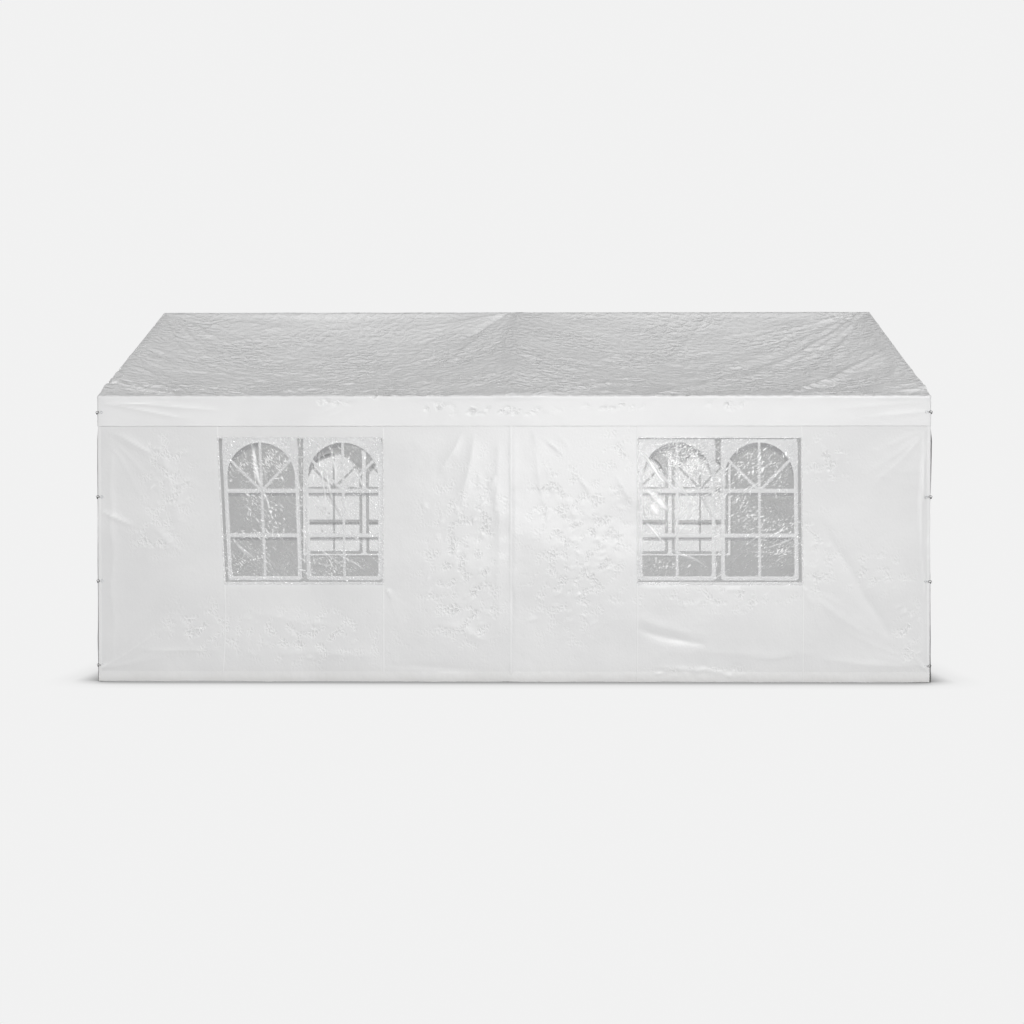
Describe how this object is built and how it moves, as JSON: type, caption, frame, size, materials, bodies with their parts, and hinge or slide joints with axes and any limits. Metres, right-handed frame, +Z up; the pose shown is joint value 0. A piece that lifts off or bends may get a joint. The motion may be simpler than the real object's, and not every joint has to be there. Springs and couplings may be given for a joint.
{
  "type": "marquee tent",
  "caption": "Gabled party tent: a plugged steel tube frame under a tarpaulin roof with valances, windowed side walls with arched clear lights, and a zipped door wall at each end.",
  "frame": {"origin": "on the ground, under the middle of the tent", "axes": "+X along the ridge, +Y from the front side to the back side, +Z up"},
  "size_m": [6.0132, 4.0132, 2.8899],
  "materials": {
    "frame_tube": "satin powder coat",
    "connector": "galvanised",
    "roof_tarpaulin": "semi-gloss woven polyethylene",
    "wall_tarpaulin": "glossy woven polyethylene",
    "window_film": "clear film"
  },
  "bodies": {
    "root": {"leg_front_left": "frame_tube", "leg_front_middle": "frame_tube", "leg_front_right": "frame_tube", "leg_back_left": "frame_tube", "leg_back_middle": "frame_tube", "leg_back_right": "frame_tube", "eave_connector_front_left": "connector", "eave_connector_front_middle": "connector", "eave_connector_front_right": "connector", "eave_connector_back_left": "connector", "eave_connector_back_middle": "connector", "eave_connector_back_right": "connector", "ridge_connector_left": "connector", "ridge_connector_middle": "connector", "ridge_connector_right": "connector", "eave_purlin_front_left": "frame_tube", "eave_purlin_front_right": "frame_tube", "eave_purlin_back_left": "frame_tube", "eave_purlin_back_right": "frame_tube", "ridge_purlin_left": "frame_tube", "ridge_purlin_right": "frame_tube", "rafter_front_left": "frame_tube", "rafter_front_middle": "frame_tube", "rafter_front_right": "frame_tube", "rafter_back_left": "frame_tube", "rafter_back_middle": "frame_tube", "rafter_back_right": "frame_tube", "roof_front": "roof_tarpaulin", "roof_back": "roof_tarpaulin", "valance_front": "roof_tarpaulin", "valance_back": "roof_tarpaulin", "gable_left": "roof_tarpaulin", "gable_right": "roof_tarpaulin", "side_wall_front_left": "wall_tarpaulin", "side_wall_front_right": "wall_tarpaulin", "side_wall_back_left": "wall_tarpaulin", "side_wall_back_right": "wall_tarpaulin", "window_front_left": "window_film", "window_front_right": "window_film", "window_back_left": "window_film", "window_back_right": "window_film", "end_wall_left": "wall_tarpaulin", "end_wall_right": "wall_tarpaulin", "door_left": "wall_tarpaulin", "door_right": "wall_tarpaulin"}
  },
  "joints": []
}
